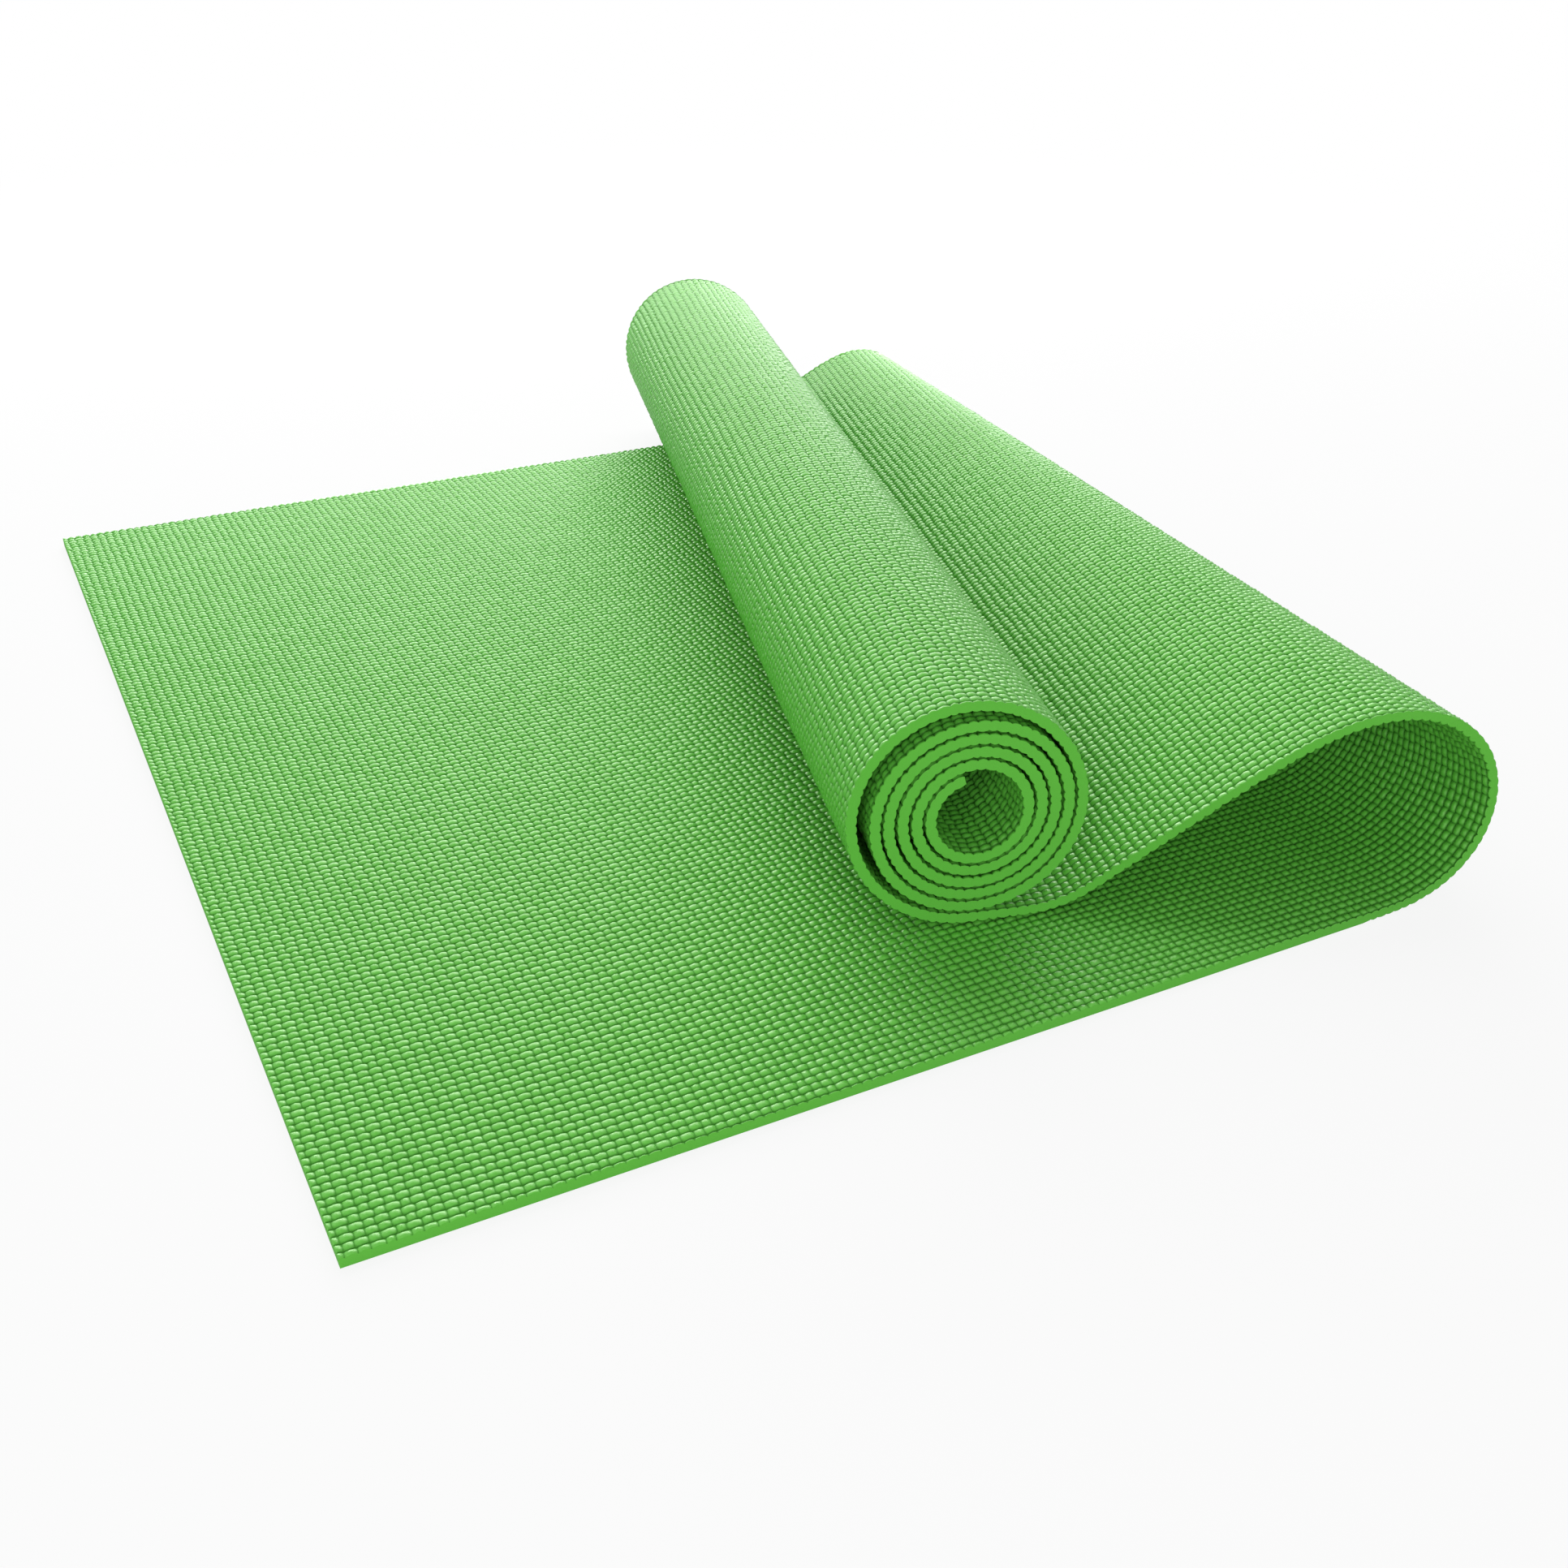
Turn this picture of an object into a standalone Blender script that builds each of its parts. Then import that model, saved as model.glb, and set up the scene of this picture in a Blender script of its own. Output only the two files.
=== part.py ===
"""Yoga mat, partly rolled up and folded over on itself, as the solid model of its layers.

The mat is one strip: a polyester scrim between two layers of PVC foam. It starts flat on the
ground (base run), lifts into a loop (fold), comes back over itself (upper run), touches down
and winds up into a roll. Strip coordinates are used throughout: "along" is the distance from
the free short edge, "across" the distance from the near long edge, and "height" the distance
from the middle of the thickness towards the practice side, which faces up on the base run.

The strip bends along straight lines only, like a sheet of paper. In the fold those lines run
to one far point (a cone), because the mat is folded askew; in the roll they run square across
the strip. Each stretch between two hinge lines is one body. The stretches wound up inside the
roll's outermost turn are one body together. Metres, +Z up, with the roll along Y. The origin is
at the middle of the bounding box, on the ground.
"""
import math

import bmesh
import bpy
import numpy as np
from mathutils import Matrix, Vector

# The mat, laid flat
MAT_LENGTH = 1.73
MAT_WIDTH = 0.61
MAT_THICKNESS = 0.0046
SCRIM_THICKNESS = 0.0004
LAYER_GAP = 0.0003
CUT_GAP = 0.0003
REST_GAP = 0.0003

# The fold, whose lengths are taken along the near edge. A lean below 1 makes the bend tighter
# at its start than at its end. The rest run is the flat part between the touchdown and the roll.
LIFT_OFF = 0.386
FOLD_SKEW = math.radians(11.1)
APEX_DISTANCE = 1.41
BEND_LENGTH = 0.232
BEND_TURN = math.radians(213.2)
BEND_LEAN = 0.7
TOUCHDOWN_LENGTH = 0.049
REST_RUN = 0.0115
FOLD_HINGES = 7

# The roll, which takes as many turns as the length needs. The loose gap is how far the
# outermost turn stands off at the middle of its span. The start softness is the sweep over
# which the spiral begins to close in.
BORE_RADIUS = 0.0135
WINDING_CLEARANCE = 0.0005
LOOSE_GAP = 0.0045
LOOSE_SPAN = math.radians(250)
START_SOFTNESS = math.radians(30)
TURN_HINGES = 8
CORE_PIECES = ("roll_outer", "roll_middle", "roll_inner")
FACETS_PER_TURN = 40

# Facets and sampling
FACETS_PER_BEND = 5
FACETS_OF_RAMP = 10
FACETS_OF_TOUCHDOWN = 4
FACETS_OF_CURL = 3
SAMPLES = 4000
SOLVER_STEPS = 60

# Sizes that follow
STACK_HEIGHT = MAT_THICKNESS + REST_GAP
ROLL_PITCH = MAT_THICKNESS + WINDING_CLEARANCE
FOAM_THICKNESS = (MAT_THICKNESS - SCRIM_THICKNESS - 2 * LAYER_GAP) / 2
HALF_THICKNESS = MAT_THICKNESS / 2
HALF_SCRIM = SCRIM_THICKNESS / 2
TURN_STEP = 2 * math.pi / TURN_HINGES

UP = np.array([0.0, 0.0, 1.0])
SKEW_ACROSS = np.array([math.sin(FOLD_SKEW), math.cos(FOLD_SKEW), 0.0])
SKEW_ALONG = np.array([math.cos(FOLD_SKEW), -math.sin(FOLD_SKEW), 0.0])
APEX = np.array([LIFT_OFF, 0.0, 0.0]) + APEX_DISTANCE * SKEW_ACROSS

LAYERS = {
    "floor_foam": (-HALF_THICKNESS, -HALF_THICKNESS + FOAM_THICKNESS),
    "scrim": (-HALF_SCRIM, HALF_SCRIM),
    "practice_foam": (HALF_THICKNESS - FOAM_THICKNESS, HALF_THICKNESS),
}


def ease(share):
    """A smooth rise from 0 to 1 whose rate starts and ends at nothing."""
    share = np.clip(share, 0.0, 1.0)
    return share - np.sin(2 * np.pi * share) / (2 * np.pi)


def running_sum(rates, steps):
    """The integral of sampled rates, starting at 0."""
    middles = (rates[1:] + rates[:-1]) / 2
    return np.concatenate([[0.0], np.cumsum(middles * steps)])


def unit(vectors):
    """Vectors at length 1."""
    return vectors / np.linalg.norm(vectors, axis=-1, keepdims=True)


class FoldProfile:
    """The fold seen along its bending lines, measured at the near edge.

    The strip turns up and back through BEND_TURN, runs down straight, and turns back level
    over TOUCHDOWN_LENGTH, one mat thickness above where it started.
    """

    def __init__(self):
        low, high = BEND_LENGTH / 2, 2 * BEND_LENGTH
        for _ in range(SOLVER_STEPS):
            self.touchdown = (low + high) / 2
            self.trace()
            if self.rise[-1] > STACK_HEIGHT:
                low = self.touchdown
            else:
                high = self.touchdown
        rays = (self.reach[:, None] * SKEW_ALONG - APEX_DISTANCE * SKEW_ACROSS
                + self.rise[:, None] * UP)
        self.ray_length = np.linalg.norm(rays, axis=1)
        self.ray = unit(rays)
        steps = np.linalg.norm(np.diff(self.ray, axis=0), axis=1)
        self.fan_angle = np.concatenate([[0.0], np.cumsum(steps)])
        self.normal = unit(np.cross(self.ray, np.gradient(self.ray, axis=0)))
        self.lifted_share = ease(self.along / self.end)

    def trace(self):
        """Samples the curve for the present touchdown, with a level tail after it."""
        self.end = self.touchdown + TOUCHDOWN_LENGTH
        self.along = np.linspace(0.0, self.end + MAT_WIDTH, SAMPLES)
        step = self.along[1]
        self.heading = self.heading_at(self.along)
        self.reach = running_sum(np.cos(self.heading), step)
        self.rise = running_sum(np.sin(self.heading), step)

    def heading_at(self, along):
        """The strip's direction of travel at a distance past the lift-off."""
        bend_share = np.clip(along / BEND_LENGTH, 0.0, 1.0) ** BEND_LEAN
        back_share = (along - self.touchdown) / TOUCHDOWN_LENGTH
        return BEND_TURN * ease(bend_share) - (BEND_TURN - math.pi) * ease(back_share)

    def along_at_heading(self, heading):
        """Where the main bend has turned through this angle."""
        bend = self.along < BEND_LENGTH
        return float(np.interp(heading, self.heading[bend], self.along[bend]))

    def bending_line(self, along):
        """Where this bending line crosses the near and the far edge of the strip."""
        slope = math.tan(float(np.interp(along, self.along, self.fan_angle)))
        crossings = []
        for across in (0.0, MAT_WIDTH):
            top = slope * (APEX_DISTANCE - across * SKEW_ACROSS[1]) + across * SKEW_ACROSS[0]
            crossings.append(LIFT_OFF + top / (SKEW_ALONG[0] + slope * SKEW_ACROSS[0]))
        return tuple(crossings)

    def point(self, along, across, height):
        """Points of the base run, the fold and the upper run, from strip coordinates."""
        from_apex = np.stack([along, across, 0 * along], axis=-1) - APEX
        angle = np.arctan2(from_apex @ SKEW_ALONG, -(from_apex @ SKEW_ACROSS))
        distance = np.linalg.norm(from_apex, axis=-1)
        ray = unit(self.read(angle, self.ray))
        normal = unit(self.read(angle, self.normal))
        narrowing = distance / np.interp(angle, self.fan_angle, self.ray_length)
        lifted = np.interp(angle, self.fan_angle, self.lifted_share)
        levelling = STACK_HEIGHT * lifted * (1 - narrowing) + HALF_THICKNESS
        folded = (APEX + distance[:, None] * ray + levelling[:, None] * UP
                  + height[:, None] * normal)
        flat = np.stack([along, across, HALF_THICKNESS + height], axis=-1)
        return np.where((angle <= 0)[:, None], flat, folded)

    def read(self, angle, samples):
        """Sampled vectors at these fan angles."""
        columns = [np.interp(angle, self.fan_angle, samples[:, axis]) for axis in range(3)]
        return np.stack(columns, axis=-1)


class Roll:
    """The winding: a spiral whose outermost turn is loose on the side away from the fold.

    "sweep" is the angle wound since the strip left the ground under the roll's middle.
    """

    def __init__(self, fold):
        touchdown_edges = fold.bending_line(fold.end)
        self.start = max(touchdown_edges) + REST_RUN
        corners = fold.point(np.array([self.start, self.start]), np.array([0.0, MAT_WIDTH]),
                             np.zeros(2))
        self.across = unit((corners[1] - corners[0]) * (1 - UP))
        self.along = np.cross(UP, self.across)
        self.foot = corners[0]
        wound_length = MAT_LENGTH - self.start
        inner_radius = BORE_RADIUS + HALF_THICKNESS
        self.end = wound_length / inner_radius
        for _ in range(SOLVER_STEPS):
            self.outer_radius = inner_radius + ROLL_PITCH * self.end / (2 * np.pi)
            self.trace()
            self.end += (wound_length - self.arc[-1]) / self.outer_radius

    def trace(self):
        """Samples the spiral for the present end of its sweep."""
        self.sweep = np.linspace(0.0, self.end, SAMPLES)
        self.radius = self.radius_at(self.sweep)
        level = self.radius * np.sin(self.sweep)
        upright = self.outer_radius - self.radius * np.cos(self.sweep)
        steps = np.hypot(np.diff(level), np.diff(upright))
        self.arc = np.concatenate([[0.0], np.cumsum(steps)])
        self.radius_rate = np.gradient(self.radius, self.sweep)
        self.heading = self.sweep - np.arctan2(self.radius_rate, self.radius)

    def sweep_at_heading(self, heading):
        """Where the roll's first turn has turned the strip through this angle."""
        return float(np.interp(heading, self.heading, self.sweep))

    def radius_at(self, sweep):
        """The spiral's radius, to the middle of the strip."""
        wound = sweep / (2 * np.pi) * (1 - np.exp(-(sweep / START_SOFTNESS) ** 2))
        loose = np.where(sweep < LOOSE_SPAN, np.sin(np.pi * sweep / LOOSE_SPAN) ** 2, 0.0)
        return self.outer_radius - ROLL_PITCH * wound + LOOSE_GAP * loose

    def line(self, sweep):
        """Where the roll's bending line at this sweep crosses the strip's two edges."""
        along = self.start + float(np.interp(sweep, self.sweep, self.arc))
        return (along, along)

    def point(self, along, across, height):
        """Points of the roll, from strip coordinates."""
        sweep = np.interp(along - self.start, self.arc, self.sweep)
        radius = np.interp(sweep, self.sweep, self.radius)
        rate = np.interp(sweep, self.sweep, self.radius_rate)
        travel_level = rate * np.sin(sweep) + radius * np.cos(sweep)
        travel_up = radius * np.sin(sweep) - rate * np.cos(sweep)
        travel = np.hypot(travel_level, travel_up)
        level = radius * np.sin(sweep) + height * travel_up / travel
        upright = self.outer_radius - radius * np.cos(sweep) - height * travel_level / travel
        return (self.foot + level[:, None] * self.along + across[:, None] * self.across
                + upright[:, None] * UP)


FOLD = FoldProfile()
ROLL = Roll(FOLD)


def strip_point(along, across, height):
    """Points of the mat in space, with the roll along Y, before the model is centred."""
    along, across, height = (np.atleast_1d(np.asarray(item, dtype=float))
                             for item in (along, across, height))
    flat_and_fold = FOLD.point(np.minimum(along, ROLL.start), across, height)
    wound = ROLL.point(np.maximum(along, ROLL.start), across, height)
    laid_out = np.where((along > ROLL.start)[:, None], wound, flat_and_fold)
    return laid_out @ np.stack([-ROLL.along, ROLL.across, UP], axis=1)


def fold_lines(first, last, facets):
    """Evenly spaced bending lines of the fold, by distance past the lift-off."""
    return [FOLD.bending_line(along) for along in np.linspace(first, last, facets + 1)]


def roll_lines(first, last, facets=None):
    """Evenly spaced bending lines of the roll, by sweep, FACETS_PER_TURN to a turn if not given."""
    if facets is None:
        facets = max(1, round(FACETS_PER_TURN * (last - first) / (2 * math.pi)))
    return [ROLL.line(sweep) for sweep in np.linspace(first, last, facets + 1)]


def trimmed(lines, first=True, last=True):
    """Lines whose end lines are drawn in by half a cut gap, so neighbours stay clear."""
    lines = list(lines)
    if first:
        lines[0] = tuple(along + CUT_GAP / 2 for along in lines[0])
    if last:
        lines[-1] = tuple(along - CUT_GAP / 2 for along in lines[-1])
    return lines


def hinge_line(line, height):
    """A hinge's near end and direction, on the practice (+) or floor (-) side of the strip."""
    near, far = strip_point(line, (0.0, MAT_WIDTH), (height, height))
    return near, unit(far - near)


def stretches():
    """Each body: its name, its pieces' bending lines, and its hinge (None for the first)."""
    bend_step = BEND_TURN / FOLD_HINGES
    bends = [FOLD.along_at_heading((count + 0.5) * bend_step) for count in range(FOLD_HINGES)]
    touchdown = FOLD.touchdown + TOUCHDOWN_LENGTH / 2
    curls = [ROLL.sweep_at_heading((count + 0.5) * TURN_STEP) for count in range(TURN_HINGES)]

    free_edge = (0.0, 0.0)
    base = trimmed([free_edge, FOLD.bending_line(0.0)], first=False)
    lift = trimmed(fold_lines(0.0, bends[0], FACETS_PER_BEND))
    bodies = [("base", {"base_run": base, "base_lift": lift}, None)]
    for count, (first, last) in enumerate(zip(bends, bends[1:])):
        lines = trimmed(fold_lines(first, last, FACETS_PER_BEND))
        name = f"fold_{count + 1}"
        bodies.append((name, {name: lines}, hinge_line(FOLD.bending_line(first), -HALF_THICKNESS)))

    ramp = trimmed(fold_lines(bends[-1], touchdown, FACETS_OF_RAMP))
    bodies.append(("upper_ramp", {"upper_ramp": ramp},
                   hinge_line(FOLD.bending_line(bends[-1]), -HALF_THICKNESS)))
    landing = fold_lines(touchdown, FOLD.end, FACETS_OF_TOUCHDOWN)
    curl = roll_lines(0.0, curls[0], FACETS_OF_CURL)
    bodies.append(("upper_run", {"upper_run": trimmed(landing + curl)},
                   hinge_line(FOLD.bending_line(touchdown), HALF_THICKNESS)))

    for count, (first, last) in enumerate(zip(curls, curls[1:])):
        name = f"turn_{count + 1}"
        bodies.append((name, {name: trimmed(roll_lines(first, last))},
                       hinge_line(ROLL.line(first), HALF_THICKNESS)))
    core = {}
    cuts = np.linspace(curls[-1], ROLL.end, len(CORE_PIECES) + 1)
    for name, first, last in zip(CORE_PIECES, cuts, cuts[1:]):
        core[name] = trimmed(roll_lines(first, last), last=name != CORE_PIECES[-1])
    bodies.append(("roll_core", core, hinge_line(ROLL.line(curls[-1]), HALF_THICKNESS)))
    return bodies


def bent_slab(lines, floor_side, practice_side):
    """A unit slab with a row of edges for each bending line, bent to the strip's shape."""
    mesh = bmesh.new()
    spans = len(lines) - 1
    from_corner = Matrix.Translation((0.5, 0.5, 0.0))
    bmesh.ops.create_grid(mesh, x_segments=spans, y_segments=1, size=0.5, matrix=from_corner)
    floor_verts = list(mesh.verts)
    raised = bmesh.ops.extrude_face_region(mesh, geom=list(mesh.faces), use_keep_orig=True)
    practice_verts = [item for item in raised["geom"] if isinstance(item, bmesh.types.BMVert)]
    for verts, height in ((floor_verts, floor_side), (practice_verts, practice_side)):
        columns = [round(vert.co.x * spans) for vert in verts]
        edges = [round(vert.co.y) for vert in verts]
        along = np.array([lines[column][edge] for column, edge in zip(columns, edges)])
        across = np.array(edges) * MAT_WIDTH
        for vert, place in zip(verts, strip_point(along, across, np.full(len(verts), height))):
            vert.co = Vector(place)
    bmesh.ops.recalc_face_normals(mesh, faces=list(mesh.faces))
    return mesh


def material(name, colour, roughness):
    """A plain surface of one colour."""
    surface = bpy.data.materials.new(name)
    surface.use_nodes = True
    shader = surface.node_tree.nodes["Principled BSDF"]
    shader.inputs["Base Color"].default_value = (*colour, 1.0)
    shader.inputs["Roughness"].default_value = roughness
    shader.inputs["Metallic"].default_value = 0.0
    surface.diffuse_color = (*colour, 1.0)
    return surface


def hinge_frame(near, direction):
    """A frame at a hinge's near end, with Y along the hinge and Z as upright as it can be."""
    y_axis = Vector(direction)
    x_axis = y_axis.cross(Vector(UP)).normalized()
    z_axis = x_axis.cross(y_axis)
    frame = Matrix((x_axis, y_axis, z_axis)).transposed().to_4x4()
    frame.translation = Vector(near)
    return frame


def add_empty(name, frame, parent, collection):
    """An empty that carries one body, with its Y axis on the body's hinge."""
    carrier = bpy.data.objects.new(name, None)
    carrier.empty_display_size = MAT_THICKNESS
    collection.objects.link(carrier)
    if parent is not None:
        carrier.parent = parent[0]
        frame_in_parent = parent[1].inverted() @ frame
    else:
        frame_in_parent = frame
    carrier.matrix_local = frame_in_parent
    return carrier, frame


def add_layer(name, slab, carrier, surface, collection):
    """One layer of one stretch, drawn in its carrier's frame."""
    slab.transform(carrier[1].inverted())
    mesh = bpy.data.meshes.new(name)
    slab.to_mesh(mesh)
    slab.free()
    mesh.materials.append(surface)
    mesh.shade_smooth()
    mesh.set_sharp_from_angle(angle=TURN_STEP)
    layer = bpy.data.objects.new(name, mesh)
    collection.objects.link(layer)
    layer.parent = carrier[0]
    return layer


def centre_on_ground(slabs):
    """The move that brings the middle of the bounding box to the origin."""
    corners = np.array([vert.co for slab in slabs for vert in slab.verts])
    middle = (corners.min(axis=0) + corners.max(axis=0)) / 2
    return np.array([-middle[0], -middle[1], -corners[:, 2].min()])


def least_turn_gap(bodies):
    """The smallest distance from one turn's inside to the outside of the turn within it."""
    lines = [line for _, pieces, _ in bodies for piece in pieces.values() for line in piece]
    along = np.array([line[0] for line in lines if line[0] >= ROLL.start])
    near_edge = np.zeros(len(along))
    inside = strip_point(along, near_edge, np.full(len(along), -HALF_THICKNESS))
    outside = strip_point(along, near_edge, np.full(len(along), HALF_THICKNESS))
    chord = outside[1:] - outside[:-1]
    offset = inside[:, None] - outside[None, :-1]
    share = np.clip((offset * chord).sum(axis=2) / (chord ** 2).sum(axis=1), 0.0, 1.0)
    apart = np.linalg.norm(offset - share[:, :, None] * chord, axis=2)
    further_in = along[None, :-1] > along[:, None] + math.pi * ROLL.radius[-1]
    return float(apart[further_in].min())


def clear_scene():
    """Takes away whatever the opened file holds."""
    for item in list(bpy.data.objects):
        bpy.data.objects.remove(item, do_unlink=True)


def build():
    """Makes the mat: a carrier for each body, and three layers for each of its pieces."""
    clear_scene()
    collection = bpy.data.collections.new("yoga_mat")
    bpy.context.scene.collection.children.link(collection)
    foam = material("green_pvc_foam", (0.098, 0.429, 0.045), 0.62)
    gauze = material("polyester_scrim", (0.62, 0.72, 0.58), 0.8)
    surfaces = {"floor_foam": foam, "scrim": gauze, "practice_foam": foam}

    bodies = stretches()
    slabs = {}
    for _, pieces, _ in bodies:
        for piece, lines in pieces.items():
            for layer, (floor_side, practice_side) in LAYERS.items():
                slabs[piece, layer] = bent_slab(lines, floor_side, practice_side)
    move = centre_on_ground(slabs.values())
    for slab in slabs.values():
        slab.transform(Matrix.Translation(Vector(move)))

    carrier = None
    for body, pieces, hinge in bodies:
        if hinge is None:
            frame = Matrix.Identity(4)
        else:
            frame = hinge_frame(hinge[0] + move, hinge[1])
        carrier = add_empty(f"{body}_carrier", frame, carrier, collection)
        for piece in pieces:
            for layer in LAYERS:
                add_layer(f"{piece}_{layer}", slabs[piece, layer], carrier, surfaces[layer],
                          collection)
    bpy.context.view_layer.update()
    print(f"least gap between turns: {least_turn_gap(bodies) * 1000:.3f} mm")


build()
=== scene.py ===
"""The dressed yoga mat: its bumped foam faces, cut edges and colour, in a plain studio.

Strip coordinates are used throughout: "along" is the distance from the free short edge,
"across" the distance from the near long edge, and "height" the distance from the middle of the
thickness towards the practice side. Both faces carry one lattice of bumps each. The mat is cut
into pieces along the grooves between bumps, where its bodies meet. Metres, +Z up.
"""
import math

import bpy
import numpy as np
from mathutils import Matrix, Vector


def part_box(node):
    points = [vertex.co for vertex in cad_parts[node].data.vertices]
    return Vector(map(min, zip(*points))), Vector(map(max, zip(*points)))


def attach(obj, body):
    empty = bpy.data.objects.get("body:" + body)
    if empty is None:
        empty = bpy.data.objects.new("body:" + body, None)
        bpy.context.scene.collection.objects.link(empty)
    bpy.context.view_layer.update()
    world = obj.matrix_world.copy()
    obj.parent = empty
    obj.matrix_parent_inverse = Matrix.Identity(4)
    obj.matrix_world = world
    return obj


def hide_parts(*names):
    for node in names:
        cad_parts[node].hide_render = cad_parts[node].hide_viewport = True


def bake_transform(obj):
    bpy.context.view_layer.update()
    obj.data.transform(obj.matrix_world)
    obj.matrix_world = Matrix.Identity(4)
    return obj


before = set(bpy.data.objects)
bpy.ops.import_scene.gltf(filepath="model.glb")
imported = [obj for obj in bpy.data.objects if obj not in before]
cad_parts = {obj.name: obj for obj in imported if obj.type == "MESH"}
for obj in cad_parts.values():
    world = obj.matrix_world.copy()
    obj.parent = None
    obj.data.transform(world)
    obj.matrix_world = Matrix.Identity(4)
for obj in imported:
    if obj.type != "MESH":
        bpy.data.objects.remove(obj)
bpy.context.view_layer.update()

# The mat, as the solids have it
MAT_LENGTH = 1.73
MAT_WIDTH = 0.61
MAT_THICKNESS = 0.0046
REST_GAP = 0.0003
LIFT_OFF = 0.386
FOLD_SKEW = math.radians(11.1)
APEX_DISTANCE = 1.41
BEND_LENGTH = 0.232
BEND_TURN = math.radians(213.2)
BEND_LEAN = 0.7
TOUCHDOWN_LENGTH = 0.049
REST_RUN = 0.0115
FOLD_HINGES = 7
BORE_RADIUS = 0.0135
WINDING_CLEARANCE = 0.0005
LOOSE_GAP = 0.0045
LOOSE_SPAN = math.radians(250)
START_SOFTNESS = math.radians(30)
TURN_HINGES = 8
CORE_PIECES = ("roll_outer", "roll_middle", "roll_inner")
LAYERS = ("floor_foam", "scrim", "practice_foam")
SAMPLES = 4000
SOLVER_STEPS = 60

STACK_HEIGHT = MAT_THICKNESS + REST_GAP
ROLL_PITCH = MAT_THICKNESS + WINDING_CLEARANCE
HALF_THICKNESS = MAT_THICKNESS / 2
TURN_STEP = 2 * math.pi / TURN_HINGES
BEND_STEP = BEND_TURN / FOLD_HINGES
UP = np.array([0.0, 0.0, 1.0])
SKEW_ACROSS = np.array([math.sin(FOLD_SKEW), math.cos(FOLD_SKEW), 0.0])
SKEW_ALONG = np.array([math.cos(FOLD_SKEW), -math.sin(FOLD_SKEW), 0.0])
APEX = np.array([LIFT_OFF, 0.0, 0.0]) + APEX_DISTANCE * SKEW_ACROSS

# A bump from groove to groove. The saddle shares are how high the grooves between columns and
# rows stand at a bump's middle.
BUMP_LENGTH = 0.0039
BUMP_WIDTH = 0.00335
GROOVE_DEPTH = 0.00135
PEAK_HEIGHT = 0.00015
DOME_POWER = 2.2
COLUMN_SADDLE_SHARE = 0.22
ROW_SADDLE_SHARE = 0.04

# Where the samples lie within one bump: in full, on the underside, and left plain
FULL_SHARES = (0.0, 0.17, 0.5, 0.83)
UNDERSIDE_SHARES = (0.0, 0.25, 0.75)
PLAIN_SHARES = (0.0,)
MIDDLE_SHARE = 0.5

# How the lattice strays from a plain grid
PRACTICE_SEED = 3
FLOOR_SEED = 8
EDGE_CUT_SHARE = 0.5
ZIGZAG_SHARE = 0.07
JITTER_SHARE = 0.09
GROOVE_JITTER_SHARE = 0.06
HEIGHT_JITTER_SHARE = 0.22
COLUMN_WAVE = 0.0004
COLUMN_PHASE = -1.6
ROW_WAVE = 0.0009
ROW_PHASE = 0.4
SLOW_WAVE_LENGTH = 0.26
SLOW_WAVE_SLANT = 3

# The cut edges. The rim shares are how much of the grooves' depth is left there.
RIM_RADIUS = 0.0002
RIM_MELT = 0.001
OPEN_RIM_SHARE = 0.95
WOUND_RIM_SHARE = 0.55
WALL_ROWS = 3

# What is bumped in full: all but the wound layers past the turn that opens and the one that
# shows then. Only the ends and the bore of those are seen.
WOUND_END = 0.018
BORE_SHOWN = 0.12
FIRST_TURN_END = 1.25

# The most triangles in a piece, and the corners of a quad
MOST_TRIANGLES = 185000
QUAD_CORNERS = 4


def ease(share):
    """A smooth rise from 0 to 1 whose rate starts and ends at nothing."""
    share = np.clip(share, 0.0, 1.0)
    return share - np.sin(2 * np.pi * share) / (2 * np.pi)


def running_sum(rates, steps):
    """The integral of sampled rates, starting at 0."""
    middles = (rates[1:] + rates[:-1]) / 2
    return np.concatenate([[0.0], np.cumsum(middles * steps)])


def unit(vectors):
    """Vectors at length 1."""
    return vectors / np.linalg.norm(vectors, axis=-1, keepdims=True)


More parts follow.
